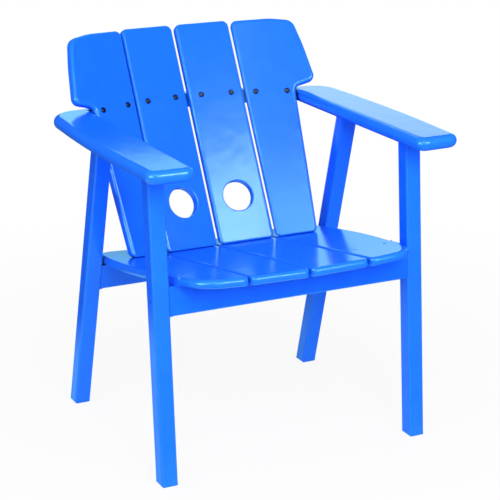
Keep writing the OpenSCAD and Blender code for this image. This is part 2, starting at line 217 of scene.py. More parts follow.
def inward(points: np.ndarray) -> np.ndarray:
    """Inward directions of a closed anticlockwise outline.

    Each is the mean of the normals of the two edges that meet in a point,
    lengthened, to twice at most, so that a step along it moves both edges in
    by one.

    Args:
        points: outline (n, 2).

    Returns:
        Directions (n, 2).
    """
    a = unit(points - np.roll(points, 1, 0))
    b = np.roll(a, -1, 0)
    na = np.stack([-a[:, 1], a[:, 0]], 1)
    nb = np.stack([-b[:, 1], b[:, 0]], 1)
    mean = unit(na + nb)
    return mean / np.maximum(0.5, np.sum(mean * na, 1, keepdims=True))


# ---- skins -------------------------------------------------------------------


@dataclass
class Skin:
    """A closed surface before it becomes a mesh.

    Attributes:
        points: places of the points (n, 3).
        grain: place of each point in its board, with the grain along y.
        edge: 1 on a rounded edge, 0 on a flat face.
        faces: point numbers of each face.
    """

    points: np.ndarray
    grain: np.ndarray
    edge: np.ndarray
    faces: list[list[int]]

    def on(self, side: Side) -> "Skin":
        """This skin, made for the right-hand side, on a side of the chair."""
        return Skin(self.points * side.flip, self.grain, self.edge, self.faces)


def ring_quads(rings: int, count: int, first: int) -> list[list[int]]:
    """Faces of a tube of rings whose points follow each other round.

    Args:
        rings: number of rings.
        count: points in a ring.
        first: number of the first point.

    Returns:
        Four point numbers for each face.
    """
    k, i = np.meshgrid(np.arange(rings - 1), np.arange(count), indexing="ij")
    j = (i + 1) % count
    quads = np.stack([k * count + i, k * count + j, (k + 1) * count + j, (k + 1) * count + i], -1)
    return (quads.reshape(-1, 4) + first).tolist()


def turned(rings: np.ndarray) -> tuple[np.ndarray, list[list[int]]]:
    """Points and faces of a small closed solid made of rings.

    Args:
        rings: points (k, n, 3) of the rings from its foot to its middle.

    Returns:
        Points (k n, 3) and the faces, with one over the first and last ring.
    """
    k, n, _ = rings.shape
    ends = [list(range(n)), list(range((k - 1) * n, k * n))]
    return rings.reshape(-1, 3), ring_quads(k, n, 0) + ends


def group(copies: list[np.ndarray], grains: list[np.ndarray], faces: list[list[int]]) -> Skin:
    """Skin of alike solids that share one node.

    Args:
        copies: points of each solid in the chair.
        grains: places of the points in the wood or paint.
        faces: faces of one solid.

    Returns:
        The skin.
    """
    points = np.concatenate(copies)
    every = [[i + at * len(copies[0]) for i in f] for at in range(len(copies)) for f in faces]
    return Skin(points, np.concatenate(grains) * MM, np.zeros(len(points)), every)


@dataclass
class Cutout:
    """A round cutout of a board.

    Attributes:
        u: place of the centre across.
        v: place of the centre along.
        radius: radius of the bore.
        rim: rounding of its rim.
        kind: through, or blind from one side.
        depth: depth of a blind one.
    """

    u: float
    v: float
    radius: float
    rim: float
    kind: Cut
    depth: float = 0.0

    @property
    def count(self) -> int:
        """Points in a ring: more round a bore that is wide enough to show them."""
        return 64 if self.radius > 15 else 32


@dataclass
class Board:
    """A flat board with rounded edges, drawn as rings.

    The rings go from the upper face (w = 0) round the edge to the lower one
    (w = -thickness). With the angle f from 0 to 90 degrees and the rounding
    r, a ring lies r (1 - sin f) inside the outline and r (1 - cos f) below
    its face. One more ring inside keeps the light on the flat face even.

    Attributes:
        outline: points and roundings of the edge.
        thickness: thickness of the board.
        cutouts: round cutouts.
        slant: move of each outline point, in (u, v), for each millimetre of w
            above the middle of the board.
        steps: rings in a quarter of the rounding.
        lip: width of the strip between the rounding and the ring inside.
        web: flat that a full nose keeps on each side of its middle.
        bore_arris: how far the wall of a bore takes the painted highlight of an arris.
    """

    outline: Edge
    thickness: float
    cutouts: list[Cutout] = field(default_factory=list)
    slant: np.ndarray | None = None
    steps: int = 7
    lip: float = 0.7
    web: float = 0.12
    bore_arris: float = 0.8

    def quarter(self) -> np.ndarray:
        """Angles of the rings in a quarter of the rounding, in radians."""
        return np.linspace(0, math.pi / 2, self.steps + 1)

    def rings(self) -> tuple[np.ndarray, np.ndarray, np.ndarray]:
        """Rings of the edge from the upper face to the lower.

        Returns:
            u and v (k, n, 2), w (k, n) and the share of edge (k, n).
        """
        flat, edge = self.outline
        r = np.minimum(edge, self.thickness / 2 - self.web)[None]
        f = self.quarter()[:, None]
        inset = np.concatenate([r + self.lip, r * (1 - np.sin(f))])
        drop = np.concatenate([0 * r, r * (1 - np.cos(f))])
        rise = np.sin(2 * self.quarter()) ** 0.5 * 0.5 + 0.5 * np.sin(self.quarter())
        share = np.concatenate([[0.0], rise])
        inset = np.concatenate([inset, inset[::-1]])
        w = np.concatenate([-drop, -self.thickness + drop[::-1]])
        share = np.concatenate([share, share[::-1]])[:, None] * np.ones_like(w)
        uv = flat[None] + inward(flat)[None] * inset[..., None]
        if self.slant is not None:
            uv = uv + self.slant[None] * (w + self.thickness / 2)[..., None]
        return uv, w, share

    def bore(self, c: Cutout) -> tuple[np.ndarray, np.ndarray]:
        """Radius and w of the rings of a cutout, from the face it enters.

        Args:
            c: the cutout.

        Returns:
            Radii (k,) and heights (k,).
        """
        f = self.quarter()
        rim = c.radius + c.rim
        radius = np.concatenate([[rim + self.lip], c.radius + c.rim * (1 - np.sin(f))])
        w = np.concatenate([[0.0], -c.rim * (1 - np.cos(f))])
        if c.kind is Cut.THROUGH:
            w = np.concatenate([w, -self.thickness - w[::-1]])
            return np.concatenate([radius, radius[::-1]]), w
        radius, w = np.append(radius, c.radius), np.append(w, -c.depth)
        return radius, (w if c.kind is Cut.TOP else -self.thickness - w)

    def skin(self, grain_across: bool = False) -> Skin:
        """The whole surface in board coordinates (u, v, w).

        Args:
            grain_across: the grain runs along u instead of v.

        Returns:
            The skin.
        """
        uv, w, share = self.rings()
        k, n = w.shape
        points = [np.concatenate([uv.reshape(-1, 2), w.reshape(-1, 1)], 1)]
        edges = [share.reshape(-1)]
        faces = ring_quads(k, n, 0)
        upper, lower = [(uv[0], 0)], [(uv[-1], (k - 1) * n)]
        first = k * n
        for c in self.cutouts:
            m = c.count
            t = np.linspace(0, 2 * math.pi, m, endpoint=False)
            radius, height = self.bore(c)
            circle = np.stack([np.cos(t), np.sin(t)], 1)
            ring = np.array([c.u, c.v]) + radius[:, None, None] * circle[None]
            heights = np.repeat(height[:, None], m, 1)
            points.append(np.concatenate([ring.reshape(-1, 2), heights.reshape(-1, 1)], 1))
            # all but the flat strip and the first ring of the rim
            inside = radius < c.radius + 0.95 * c.rim
            edges.append(np.repeat(inside, m) * self.bore_arris)
            faces += ring_quads(len(radius), m, first)
            last = first + (len(radius) - 1) * m
            if c.kind is Cut.UNDERSIDE:
                lower.append((ring[0], first))
            else:
                upper.append((ring[0], first))
            if c.kind is Cut.THROUGH:
                lower.append((ring[-1], last))
            else:
                faces.append(list(range(last, last + m)))
            first += len(radius) * m
        faces += self.cap(upper) + self.cap(lower)
        flat = np.concatenate(points)
        grain = flat[:, [1, 0, 2]] if grain_across else flat
        return Skin(flat, grain * MM, np.concatenate(edges), faces)

    @staticmethod
    def cap(loops: list[tuple[np.ndarray, int]]) -> list[list[int]]:
        """Triangles of a flat face between its outline and its holes.

        Args:
            loops: points (n, 2) of each loop and the number of its first.

        Returns:
            Three point numbers for each triangle.
        """
        numbers = np.concatenate([first + np.arange(len(loop)) for loop, first in loops])
        flat = [[Vector((u, v, 0)) for u, v in loop.tolist()] for loop, first in loops]
        return numbers[np.array(tessellate_polygon(flat))].tolist()


# ---- pieces ------------------------------------------------------------------


@dataclass(frozen=True)
class Plane:
    """A cut through a board: what lies beyond it, along normal, is taken off."""

    point: np.ndarray
    normal: np.ndarray

    def on(self, side: Side) -> "Plane":
        """This cut, made for the right-hand side, on a side of the chair."""
        return Plane(self.point * side.flip, self.normal * side.flip)


def mesh_of(name: str, skin: Skin, planes: list[Plane]) -> bpy.types.Mesh:
    """Makes the mesh of a skin, cuts it and turns its faces outwards.

    Args:
        name: name of the mesh.
        skin: the surface, in chair millimetres.
        planes: planes that cut it.

    Returns:
        The mesh, in metres.
    """
    mesh = bpy.data.meshes.new(name)
    mesh.from_pydata((skin.points * MM).tolist(), [], skin.faces)
    grain = mesh.attributes.new("grain", "FLOAT_VECTOR", "POINT")
    grain.data.foreach_set("vector", skin.grain.ravel())
    mesh.attributes.new("arris", "FLOAT", "POINT").data.foreach_set("value", skin.edge.ravel())
    bm = bmesh.new()
    bm.from_mesh(mesh)
    for plane in planes:
        geometry = bm.verts[:] + bm.edges[:] + bm.faces[:]
        done = bmesh.ops.bisect_plane(
            bm, geom=geometry, dist=1e-7, clear_outer=True,
            plane_co=Vector(plane.point * MM), plane_no=Vector(plane.normal),
        )
        rim = [e for e in done["geom_cut"] if isinstance(e, bmesh.types.BMEdge)]
        bmesh.ops.edgeloop_fill(bm, edges=rim)
    bmesh.ops.recalc_face_normals(bm, faces=bm.faces[:])
    bm.to_mesh(mesh)
    bm.free()
    mesh.polygons.foreach_set("use_smooth", np.ones(len(mesh.polygons), bool))
    mesh.set_sharp_from_angle(angle=SHARP)
    mesh.update()
    return mesh


def add_object(name: str, data: bpy.types.ID) -> bpy.types.Object:
    """Makes an object and links it to the scene.

    Args:
        name: its name.
        data: its mesh, lamp or camera.

    Returns:
        The object.
    """
    thing = bpy.data.objects.new(name, data)
    bpy.context.scene.collection.objects.link(thing)
    return thing


def put(
    node: str, skin: Skin, finish: bpy.types.Material, slot: Slot = Slot.ENAMEL,
    name: str = "", planes: list[Plane] | None = None,
) -> None:
    """Puts a finished piece into the scene, riding on the chair.

    Args:
        node: the CAD node that it stands for.
        skin: its surface, in place.
        finish: its material.
        slot: its material slot in the record; not used.
        name: its name, if that isn't its node's with _painted after it.
        planes: planes that cut it.
    """
    mesh = mesh_of(name or node, skin, planes or [])
    piece = add_object(name or f"{node}_painted", mesh)
    mesh.materials.append(finish)
    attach(piece, ROOT)
    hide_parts(node)
    report(piece, node)


def report(piece: bpy.types.Object, node: str) -> None:
    """Logs a piece, its triangles and how far its box is from its CAD node's.

    Args:
        piece: the piece.
        node: the CAD node that it stands for.
    """
    co = np.empty(len(piece.data.vertices) * 3, np.float32)
    piece.data.vertices.foreach_get("co", co)
    co = co.reshape(-1, 3)
    triangles = sum(p.loop_total - 2 for p in piece.data.polygons)
    low, high = (np.array(corner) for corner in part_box(node))
    off = max(np.abs(co.min(0) - low).max(), np.abs(co.max(0) - high).max()) / MM
    LOG.info("%s: %d triangles, box within %.2f mm of the solid", piece.name, triangles, off)


# ---- finishes ----------------------------------------------------------------

# inputs of a Mix node, whose names repeat: its factor, two numbers, two colours
FACTOR, LOW, HIGH, FIRST, SECOND = 0, 2, 3, 6, 7
WHITE = (1.0, 1.0, 1.0, 1.0)


def linear(code: str) -> tuple[float, float, float, float]:
    """Linear colour of an sRGB hex code.

    Args:
        code: six hex digits.

    Returns:
        Red, green, blue and an alpha of 1.
    """
    srgb = np.array([int(code[i:i + 2], 16) for i in (0, 2, 4)]) / 255
    value = np.where(srgb <= 0.04045, srgb / 12.92, ((srgb + 0.055) / 1.055) ** 2.4)
    return (*value.tolist(), 1.0)


def add_node(
    tree: bpy.types.NodeTree, kind: str, sockets: dict | None = None, **settings
) -> bpy.types.Node:
    """Adds a shader node with its settings, values and links.

    Args:
        tree: the node tree.
        kind: name of the node type, without the ShaderNode in front.
        sockets: for each input, by name or number, its value, the output that
            it is linked to, or a node that is linked by its first output.
        **settings: properties of the node.

    Returns:
        The node.
    """
    node = tree.nodes.new("ShaderNode" + kind)
    for key, value in settings.items():
        setattr(node, key, value)
    for key, value in (sockets or {}).items():
        if isinstance(value, bpy.types.Node):
            value = next(output for output in value.outputs if output.enabled)
        if isinstance(value, bpy.types.NodeSocket):
            tree.links.new(value, node.inputs[key])
        else:
            node.inputs[key].default_value = value
    return node


class Finish:
    """What every finish has: a name, and a shader that its nodes end in."""

    name: str

    def shader(self, tree: bpy.types.NodeTree) -> bpy.types.Node:
        """Adds the nodes of the finish to a tree and returns its shader."""
        raise NotImplementedError

    def build(self) -> bpy.types.Material:
        """The material."""
        material = bpy.data.materials.new(self.name)
        material.use_nodes = True
        tree = material.node_tree
        tree.nodes.clear()
        add_node(tree, "OutputMaterial", {"Surface": self.shader(tree)})
        return material


@dataclass(frozen=True)
class GlossEnamel(Finish):
    """Alkyd gloss enamel, sprayed over sanded hardwood.

    It gives a deep even blue under a wet-looking skin. The film follows the
    wood: a slow unevenness bends the reflections and the pores of the grain
    telegraph faintly. The arrises are painted a shade lighter: a painted
    highlight along the rounded edges, with a little of it from the thinner film.
    Narrow gaps between boards, found by ambient occlusion, are painted dark:
    painted shade where little light reaches.

    Attributes:
        name: name of the material.
        colour: the paint.
        deep: the paint where the film is thicker.
        arris: the lighter blue painted on the arrises, a painted highlight.
        arris_highlight_share: how much of that painted highlight an arris takes.
        roughness: the least and the most, as the pores change it.
        ior: index of refraction.
        tint: tint of the reflections.
        painted_gap_shade: colour of a narrow gap, painted shade.
        painted_gap_shade_share: how much of that painted shade the tightest gap takes.
        painted_gap_shade_mm: how near the other side of a gap is, for the painted shade.
        painted_gap_shade_open: openness at which the painted shade is darkest, and at which it
            ends.
        pore_mm: distance of the pores, coarser than real so that they show.
        pore_run: scale of the pores along the grain.
        pore_bump: strength and height in mm of the pores.
        swell_mm: size of the slow unevenness.
        swell_bump: strength and height in mm of the unevenness.
    """

    name: str = "gloss_enamel_blue"
    colour: str = "1160F3"
    deep: str = "0C58EE"
    # painted highlight: the lighter blue of the arrises
    arris: str = "2A7CF6"
    arris_highlight_share: float = 0.35
    roughness: tuple[float, float] = (0.15, 0.20)
    ior: float = 1.5
    tint: str = "D8FBFF"
    # painted shade: the dark of narrow gaps
    painted_gap_shade: str = "001457"
    painted_gap_shade_share: float = 0.9
    painted_gap_shade_mm: float = 14.0
    painted_gap_shade_open: tuple[float, float] = (0.12, 0.5)
    pore_mm: float = 2.2
    pore_run: float = 0.06
    pore_bump: tuple[float, float] = (0.05, 0.4)
    swell_mm: float = 38.0
    swell_bump: tuple[float, float] = (0.09, 4.0)

    def shader(self, tree: bpy.types.NodeTree) -> bpy.types.Node:
        """Adds the nodes of the enamel.

        Args:
            tree: the node tree.

        Returns:
            Its shader.
        """
        grain = add_node(tree, "Attribute", attribute_name="grain").outputs["Vector"]
        arris = add_node(tree, "Attribute", attribute_name="arris").outputs["Fac"]
        long = add_node(tree, "Mapping", {"Vector": grain, "Scale": (1, self.pore_run, 1)})
        pores = add_node(tree, "TexNoise", {
            "Vector": long, "Scale": 1 / (self.pore_mm * MM), "Detail": 3.0, "Roughness": 0.55,
        })
        swell = add_node(tree, "TexNoise", {
            "Vector": grain, "Scale": 1 / (self.swell_mm * MM), "Detail": 1.5, "Roughness": 0.4,
        })
        body = add_node(tree, "Mix", {
            FACTOR: swell, FIRST: linear(self.deep), SECOND: linear(self.colour),
        }, data_type="RGBA")
        # painted highlight: the arrises are mixed towards a lighter blue
        share = add_node(tree, "Math", {0: arris, 1: self.arris_highlight_share}, operation="MULTIPLY")
        colour = add_node(tree, "Mix", {
            FACTOR: share, FIRST: body, SECOND: linear(self.arris),
        }, data_type="RGBA")
        # painted shade: ambient occlusion finds narrow gaps, which are painted dark
        sky = add_node(
            tree, "AmbientOcclusion", {"Distance": self.painted_gap_shade_mm * MM}, samples=8,
        ).outputs["AO"]
        gap = add_node(tree, "MapRange", {
            "Value": sky, "From Min": self.painted_gap_shade_open[0], "From Max": self.painted_gap_shade_open[1],
            "To Min": self.painted_gap_shade_share, "To Max": 0.0,
        })
        paint = add_node(tree, "Mix", {
            FACTOR: gap, FIRST: colour, SECOND: linear(self.painted_gap_shade),
        }, data_type="RGBA")
        gloss = add_node(tree, "MapRange", {
            "Value": pores, "From Min": 0.3, "From Max": 0.7,
            "To Min": self.roughness[0], "To Max": self.roughness[1],
        })
        low = add_node(tree, "Bump", {
            "Height": swell, "Strength": self.swell_bump[0], "Distance": self.swell_bump[1] * MM,
        })
        fine = add_node(tree, "Bump", {
            "Height": pores, "Normal": low,
            "Strength": self.pore_bump[0], "Distance": self.pore_bump[1] * MM,
        })
        return add_node(tree, "BsdfPrincipled", {
            "Base Color": paint, "Roughness": gloss, "IOR": self.ior,
            "Specular Tint": linear(self.tint), "Normal": fine,
        })


@dataclass(frozen=True)
class Steel(Finish):
    """Turned steel with a thin finish: a soft sheen with fine uneven patches.

    Attributes:
        name: name of the material.
        colour: the finish.
        worn: the finish in its patches.
        metallic: share of bare metal in the sheen.
        roughness: roughness.
        patch_mm: size of the patches.
        bump: strength and height in mm of the patches.
    """

    name: str
    colour: str
    worn: str
    metallic: float
    roughness: float = 0.3
    patch_mm: float = 1.6
    bump: tuple[float, float] = (0.15, 0.2)

    def shader(self, tree: bpy.types.NodeTree) -> bpy.types.Node:
        """Adds the nodes of the steel.

        Args:
            tree: the node tree.

        Returns:
            Its shader.
        """
        place = add_node(tree, "TexCoord").outputs["Object"]
        patch = add_node(tree, "TexNoise", {
            "Vector": place, "Scale": 1 / (self.patch_mm * MM), "Detail": 2.0,
        })
        share = add_node(tree, "MapRange", {"Value": patch, "From Min": 0.55, "From Max": 0.8})
        colour = add_node(tree, "Mix", {
            FACTOR: share, FIRST: linear(self.colour), SECOND: linear(self.worn),
        }, data_type="RGBA")
        bump = add_node(tree, "Bump", {
            "Height": patch, "Strength": self.bump[0], "Distance": self.bump[1] * MM,
        })
        return add_node(tree, "BsdfPrincipled", {
            "Base Color": colour, "Roughness": self.roughness, "Metallic": self.metallic,
            "Normal": bump,
        })


@dataclass(frozen=True)
class PlainBeech(Finish):
    """Planed beech, unfinished: pale pinkish brown with short dark flecks."""

    name: str = "planed_beech"
    colour: str = "C9A27A"
    fleck: str = "A97F56"
    fleck_mm: float = 0.9
    fleck_run: float = 0.15  # scale of the flecks along the dowel
    roughness: float = 0.6

    def shader(self, tree: bpy.types.NodeTree) -> bpy.types.Node:
        """Adds the nodes of the beech.

        Args:
            tree: the node tree.

        Returns:
            Its shader.
        """
        place = add_node(tree, "TexCoord").outputs["Object"]
        long = add_node(tree, "Mapping", {"Vector": place, "Scale": (self.fleck_run, 1, 1)})
        fleck = add_node(tree, "TexNoise", {
            "Vector": long, "Scale": 1 / (self.fleck_mm * MM), "Detail": 2.0,
        })
        colour = add_node(tree, "Mix", {
            FACTOR: fleck, FIRST: linear(self.colour), SECOND: linear(self.fleck),
        }, data_type="RGBA")
        return add_node(tree, "BsdfPrincipled", {
            "Base Color": colour, "Roughness": self.roughness,
        })


@dataclass
class Finishes:
    """The finishes of the chair, made once."""

    enamel: bpy.types.Material = field(default_factory=GlossEnamel().build)
    # blackened and oiled: near-black metal
    black: bpy.types.Material = field(
        default_factory=Steel("blackened_steel", "061230", "142C5C", 0.25).build
    )
    # zinc plated: pale grey metal with duller patches
    zinc: bpy.types.Material = field(
        default_factory=Steel("zinc_plated_steel", "A8ABB0", "8C9096", 1.0).build
    )
    beech: bpy.types.Material = field(default_factory=PlainBeech().build)

    def dress(self) -> None:
        """Gives the CAD nodes that stay their finish: the hidden hardware."""
        steel = ("seat_screws_front", "seat_screws_rear", "back_foot_screws",
                 "frame_bolts", "barrel_nuts")
        wood = ("rail_dowels", "arm_dowels", "arm_joint_dowels")
        for finish, nodes in ((self.zinc, steel), (self.beech, wood)):
            for node in nodes:
                slots = frame["nodes"][node].data.materials
                slots.clear()
                slots.append(finish)
                LOG.info("%s: solid kept, %s", node, finish.name)


# ---- frame of the chair ------------------------------------------------------


@dataclass(frozen=True)
class LegRow:
    """The two legs at one end of the chair and the rail between them.

    Attributes:
        name: which end.
        foot: y of the middle of the feet.
        lean: how far the legs lean rearwards on their way up, in degrees.
        rail: height of the rail's lower edge, before its lift.
        lift: way along the legs that it is fitted higher.
        rise: way along the legs from that edge up to the frame bolts.
    """

    name: str
    foot: float
    lean: float
    rail: float
    lift: float
    rise: float

    @property
    def place(self) -> Place:
        """The place of the legs, their length along z."""
        return Place((0, self.foot, 0), turn("x", -self.lean))

    @property
    def low(self) -> float:
        """Lower edge of the rail, along the legs."""
        return self.rail / math.cos(math.radians(self.lean)) + self.lift

    @property
    def bolt(self) -> float:
        """Height of the frame bolts, along the legs."""
        return self.low + self.rise

    def y(self, z: float) -> float:
        """Place of the middle of the legs at height z."""
        return self.foot + z * math.tan(math.radians(self.lean))


@dataclass
class LegFrame:
    """Four raked square legs and the two rails between them."""

    front: LegRow = LegRow("front", -259.0, 4.0, 336.0, 0.0, 32.2)
    rear: LegRow = LegRow("rear", 219.0, -16.4, 283.0, 2.0, 24.5)
    leg_w: float = 34.0
    frame_w: float = 590.0  # over the legs
    top_z: float = 618.0
    arris: float = 4.5
    foot_arris: float = 3.6
    joint_arris: float = 0.5  # where a board butts against another
    slat_arris: float = 1.0  # of a rail under the slats
    ease_run: float = 7.0  # from one of a leg's arrises to the next
    setback: float = 2.0  # of a rail's front face from the legs'
    slat_gap: float = 0.05
    upper: float = 12.0  # what is farther up a rail than this is its upper edge
    bolt_bore: float = 4.55
    bolt_rim: float = 0.5
    bolt_recess: float = 8.0
    nut_in: float = 50.0  # from a rail's end
    nut_bore: float = 5.05
    nut_rim: float = 0.4
    nut_recess: float = 6.9

    @property
    def rail_end(self) -> float:
        """Distance of a rail's end from the middle."""
        return self.frame_w / 2 - self.leg_w

    def leg(self, row: LegRow) -> Skin:
        """The right-hand leg of a row: its side view is the outline.

        Args:
            row: the front or the rear legs.

        Returns:
            The skin.
        """
        half = self.leg_w / 2 / math.cos(math.radians(row.lean))
        foot, top = row.foot, row.y(self.top_z)
        edge = outline([
            Corner(foot - half, 0, 0, self.foot_arris),
            Corner(foot + half, 0, 0, self.arris),
            Corner(top + half, self.top_z, 0, self.joint_arris),
            Corner(top - half, self.top_z, 0, self.arris),
        ], run=self.ease_run)
        _, y, z = row.place.point(0, 0, row.bolt)
        recess = Cutout(y, z, self.bolt_bore, self.bolt_rim, Cut.TOP, self.bolt_recess)
        skin = Board(edge, self.leg_w, [recess]).skin()
        u, v, w = skin.points.T
        skin.points = np.stack([self.frame_w / 2 + w, u, v], 1)
        return skin

    def rail(self, row: LegRow, seat: "Seat") -> Skin:
        """The rail of a row; its upper edge follows the undersides of the slats.

        Args:
            row: the front or the rear legs.
            seat: the seat that it carries.

        Returns:
            The skin.
        """
        low, end = row.low, self.rail_end
        y0, y1 = -self.leg_w / 2 + self.setback, self.leg_w / 2
        across = np.array([end, seat.pitch, 0, -seat.pitch, -end])
        tops = [seat.under(row.place, across, y) - self.slat_gap for y in (y0, y1)]
        mean, slope = (tops[0] + tops[1]) / 2, (tops[1] - tops[0]) / (y1 - y0)
        arrises = [self.slat_arris] * 4 + [self.joint_arris]
        points, edges = outline([
            Corner(-end, low, 0, self.arris),
            Corner(end, low, 0, self.joint_arris),
            *[Corner(x, z, 0, edge) for x, z, edge in zip(across, mean, arrises)],
        ])
        # the upper points move with the slope of the slats through the rail
        lean = -np.interp(points[:, 0], across[::-1], slope[::-1])
        slant = np.stack([0 * edges, np.where(points[:, 1] > low + self.upper, lean, 0)], 1)
        nuts = [
            Cutout(x, row.bolt, self.nut_bore, self.nut_rim, Cut.UNDERSIDE, self.nut_recess)
            for x in (self.nut_in - end, end - self.nut_in)
        ]
        skin = Board((points, edges), y1 - y0, nuts, slant).skin(grain_across=True)
        # board w runs forwards: w = 0 is the front face
        u, v, w = skin.points.T
        skin.points = row.place.out(np.stack([u, y0 - w, v], 1))
        return skin

    def build(self, seat: "Seat", enamel: bpy.types.Material) -> None:
        """Makes the legs and rails.

        Args:
            seat: the seat that they carry.
            enamel: the finish.
        """
        for row in (self.front, self.rear):
            for side in Side:
                put(f"{row.name}_leg_{side.name.lower()}", self.leg(row).on(side), enamel)
            put(f"{row.name}_rail", self.rail(row, seat), enamel)


# ---- seat --------------------------------------------------------------------


@dataclass(frozen=True)
class ScrewRow:
    """A row of seat screws, which follows a row of legs.

    Attributes:
        rise: height over the middle of the seat at which the legs are taken.
        behind: way of the screws behind the middle of the legs there.
        inner: way of an outer slat's inner screw from the slat's middle.
        outer: way of its outer screw from the end of the rail.
    """

    rise: float
    behind: float
    inner: float
    outer: float


@dataclass
class Seat:
    """Four slats set in a shallow dish, with full noses at the front.

    A disc of filler closes each screw hole. From its foot up and inwards, the
    rings of a disc have fill_shares of its radius, and fill_steps below its
    face, which is itself dished.
    """

    thickness: float = 18.0
    height: float = 365.3
    slope: float = 9.4
    dish: float = 3735.0  # radius
    pitch: float = 128.6
    gap: float = 5.0
    front_y: float = -331.7
    rear_y: float = 183.0
    gap_edge: float = 4.6
    rear_edge: float = 5.0
    corner: float = 13.0
    rear_corner: float = 7.0
    outer_corners: tuple[float, float, float] = (62.0, 48.0, 9.9)
    corner_in: tuple[float, float] = (34.0, 18.1)  # the first two, from the side
    overhang: float = 4.0  # of the side, past the end of a rail
    bow: float = 1183.0  # radius of the side
    bow_y: float = -28.0
    bow_stations: tuple[float, float, float] = (-199.0, 79.0, 15.4)
    notch_y: tuple[float, float, float] = (-252.0, -237.0, -205.0)
    notch_in: float = 13.7  # beside the front leg, from the end of a rail
    notch_edge: float = 1.0
    ease_run: float = 2.0
    screw_u: float = 36.0
    front_screws: ScrewRow = ScrewRow(35.0, 9.5, 38.0, 36.1)
    rear_screws: ScrewRow = ScrewRow(-21.0, 9.0, 48.0, 68.1)
    fill_d: float = 9.0
    fill_rim: float = 0.9
    fill_recess: float = 2.4
    fill_gap: float = 0.02
    fill_sink: float = 0.7
    fill_dish: float = 0.2
    fill_shares: tuple[float, ...] = (1, 1, 0.97, 0.8, 0.5, 0.2)
    fill_steps: tuple[float, ...] = (1.4, 0.1, 0, 0, 0, 0)
    fill_count: int = 32  # points in a ring

    def place(self, k: float) -> Place:
        """The place of a slat: z = 0 is its top.

        Args:
            k: number of the slat, less than 0 on the left.

        Returns:
            The place.
        """
        middle = k * self.pitch
        tilt = turn("x", -self.slope) @ turn("y", -math.degrees(math.atan(middle / self.dish)))
        return Place((middle, 0, self.height + middle**2 / (2 * self.dish)), tilt)

    def along(self, y: float) -> float:
        """Place along a slat for a place y of the chair."""
        angle = math.radians(self.slope)
        return (y + self.thickness / 2 * math.sin(angle)) / math.cos(angle)

    def under(self, place: Place, x: np.ndarray, y: float) -> np.ndarray:
        """Height of the slats' undersides in another place.

        Each underside is a plane through a point p with normal n, so z is
        p_z - (n_x (x - p_x) + n_y (y - p_y)) / n_z; the highest plane counts.

        Args:
            place: the place, such as a rail's.
            x: places across.
            y: place from front to rear.

        Returns:
            Heights at x.
        """
        heights = []
        for k in (-OUTER, -INNER, INNER, OUTER):
            slat = self.place(k)
            p = place.back(slat.out(np.array([[0, 0, -self.thickness]])))[0]
            n = slat.frame[:, 2] @ place.frame
            heights.append(p[2] - (n[0] * (x - p[0]) + n[1] * (y - p[1])) / n[2])
        return np.max(heights, 0)

    def screw_places(self, k: float, legs: LegFrame) -> list[tuple[float, float]]:
        """Filled screws of slat k, right-hand side, in slat coordinates.

        Args:
            k: number of the slat, INNER or OUTER.
            legs: the legs and rails.

        Returns:
            Pairs of places across and along.
        """
        places = []
        for row, screws in ((legs.front, self.front_screws), (legs.rear, self.rear_screws)):
            v = self.along(row.y(self.height + screws.rise) + screws.behind)
            far = legs.rail_end - screws.outer - OUTER * self.pitch
            pair = (-screws.inner, far) if k == OUTER else (-self.screw_u, self.screw_u)
            places += [(u, v) for u in pair]
        return places

    def outline(self, k: float, legs: LegFrame) -> Edge:
        """Outline of slat k of the right-hand side.

        The outer slat's side is an arc of radius bow, and its corner is cut
        upright beside the front leg.

        Args:
            k: number of the slat, INNER or OUTER.
            legs: the legs and rails.

        Returns:
            Points and roundings.
        """
        half, nose = (self.pitch - self.gap) / 2, self.thickness / 2
        front, rear = self.along(self.front_y), self.along(self.rear_y)
        if k == INNER:
            return outline([
                Corner(-half, front, self.corner, nose),
                Corner(half, front, self.corner, self.gap_edge),
                Corner(half, rear, self.rear_corner, self.rear_edge),
                Corner(-half, rear, self.rear_corner, self.gap_edge),
            ])
        end = legs.rail_end + self.overhang - OUTER * self.pitch
        room = legs.rail_end - self.notch_in - OUTER * self.pitch

        def side(y: float, edge: float = nose) -> Corner:
            """Point of the bowed side at place y of the chair."""
            return Corner(end - (y - self.bow_y) ** 2 / (2 * self.bow), self.along(y), 0, edge)

        radii, inset = self.outer_corners, self.corner_in
        y0, y1, y2 = self.notch_y
        return outline([
            Corner(-half, front, self.corner, nose),
            Corner(end - inset[0], front, radii[0], nose),
            side(y0, self.notch_edge),
            Corner(room, self.along(y1), 0, self.notch_edge),
            Corner(room, self.along(y2), 0, self.notch_edge),
            side(y2),
            *[side(y) for y in np.arange(*self.bow_stations)],
            Corner(end - inset[1], rear, radii[1], nose),
            Corner(-half, rear, radii[2], self.gap_edge),
        ], run=self.ease_run)

    def slat(self, k: float, legs: LegFrame) -> Skin:
        """Slat k of the right-hand side.

        Args:
            k: number of the slat, INNER or OUTER.
            legs: the legs and rails.

        Returns:
            The skin.
        """
        bores = [
            Cutout(u, v, self.fill_d / 2, self.fill_rim, Cut.TOP, self.fill_recess)
            for u, v in self.screw_places(k, legs)
        ]
        skin = Board(self.outline(k, legs), self.thickness, bores).skin()
        skin.points = self.place(k).out(skin.points)
        return skin

